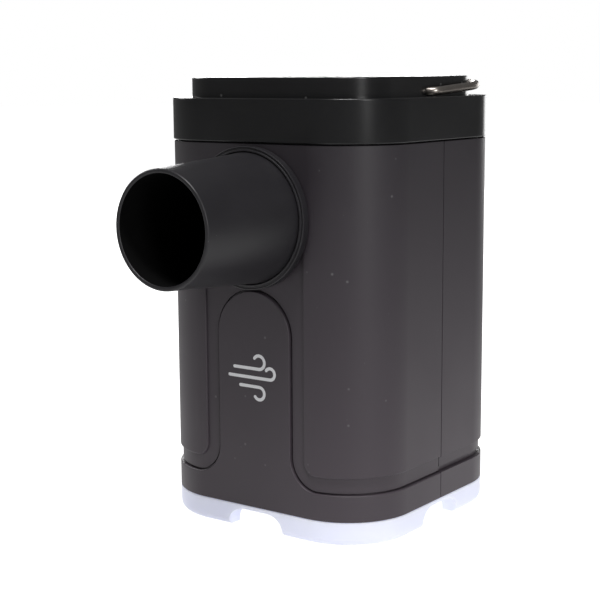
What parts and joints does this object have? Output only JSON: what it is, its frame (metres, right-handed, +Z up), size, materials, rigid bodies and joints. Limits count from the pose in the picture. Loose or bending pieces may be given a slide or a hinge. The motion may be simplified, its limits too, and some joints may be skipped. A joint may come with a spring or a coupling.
{
  "type": "electric air mattress pump",
  "caption": "Rechargeable air pump with a rounded-square body, side outlet nozzle, top inlet grille, folding wire bail, lamp base and rear controls.",
  "frame": {"origin": "centre of the whole pump's footprint, outlet nozzle included, on the floor under the four feet", "axes": "+Z up, the outlet nozzle points to -Y, the rear controls face +Y, and X runs across the body along the bail's pivot axis"},
  "size_m": [0.0604, 0.0898, 0.0998],
  "materials": {
    "satin_black": "satin",
    "nozzle_black": "satin",
    "gloss_black": "gloss",
    "soft_black": "matte",
    "inner_black": "matte",
    "frosted_white": "frosted translucent",
    "smoked_lens": "translucent",
    "steel_wire": "drawn, nickel plated",
    "screw_steel": "zinc plated",
    "motor_steel": "zinc plated",
    "nickel": "bright",
    "blade_black": "matte",
    "filter_foam": "open-cell foam",
    "board_green": "solder mask",
    "board_white": "solder mask",
    "led_yellow": "phosphor",
    "cell_blue": "shrink sleeve",
    "gasket_rubber": "matte"
  },
  "bodies": {
    "housing": {"front_shell": "satin_black", "rear_shell": "satin_black", "outlet_nozzle": "nozzle_black", "nozzle_bezel": "nozzle_black", "inlet_grille": "nozzle_black", "top_collar": "gloss_black", "top_cap": "gloss_black", "volute_cup": "inner_black", "volute_lid": "inner_black", "motor_end_bell": "inner_black", "battery_tray": "inner_black", "power_switch": "inner_black", "lamp_switch": "inner_black", "base_chassis": "inner_black", "lamp_diffuser": "frosted_white", "indicator_lens": "smoked_lens", "cap_screw_left": "screw_steel", "cap_screw_right": "screw_steel", "motor_screw_left": "screw_steel", "motor_screw_right": "screw_steel", "volute_screw_1": "screw_steel", "volute_screw_2": "screw_steel", "volute_screw_3": "screw_steel", "volute_screw_4": "screw_steel", "base_screw_1": "screw_steel", "base_screw_2": "screw_steel", "base_screw_3": "screw_steel", "base_screw_4": "screw_steel", "motor_can": "motor_steel", "cell_link": "nickel", "usb_socket": "nickel", "inlet_filter": "filter_foam", "main_board": "board_green", "led_board": "board_white", "led_chip_1": "led_yellow", "led_chip_2": "led_yellow", "led_chip_3": "led_yellow", "led_chip_4": "led_yellow", "battery_cell_left": "cell_blue", "battery_cell_right": "cell_blue", "inlet_seal": "gasket_rubber", "nozzle_gasket": "gasket_rubber"},
    "bail": {"carry_bail": "steel_wire"},
    "rotor": {"impeller": "blade_black", "motor_rotor": "motor_steel"},
    "power_key": {"power_button": "soft_black"},
    "lamp_key": {"lamp_button": "soft_black"},
    "port_flap": {"usb_cover": "gasket_rubber"}
  },
  "joints": [
    {"name": "bail_hinge", "type": "hinge", "parent": "housing", "child": "bail", "pos_m": [0, 0.0143, 0.0965], "axis": [1, 0, 0], "range_deg": [0, 173]},
    {"name": "rotor_spin", "type": "hinge", "parent": "housing", "child": "rotor", "pos_m": [0, 0.0143, 0.06], "axis": [0, 0, 1], "continuous": true},
    {"name": "power_press", "type": "slide", "parent": "housing", "child": "power_key", "axis": [0, -1, 0], "range_m": [0, 0.0006], "stiffness_N_per_m": 900, "springref_m": -0.0006},
    {"name": "lamp_press", "type": "slide", "parent": "housing", "child": "lamp_key", "axis": [0, -1, 0], "range_m": [0, 0.0006], "stiffness_N_per_m": 900, "springref_m": -0.0006},
    {"name": "port_flap_hinge", "type": "hinge", "parent": "housing", "child": "port_flap", "pos_m": [0, 0.0443, 0.0258], "axis": [1, 0, 0], "range_deg": [0, 150]}
  ]
}
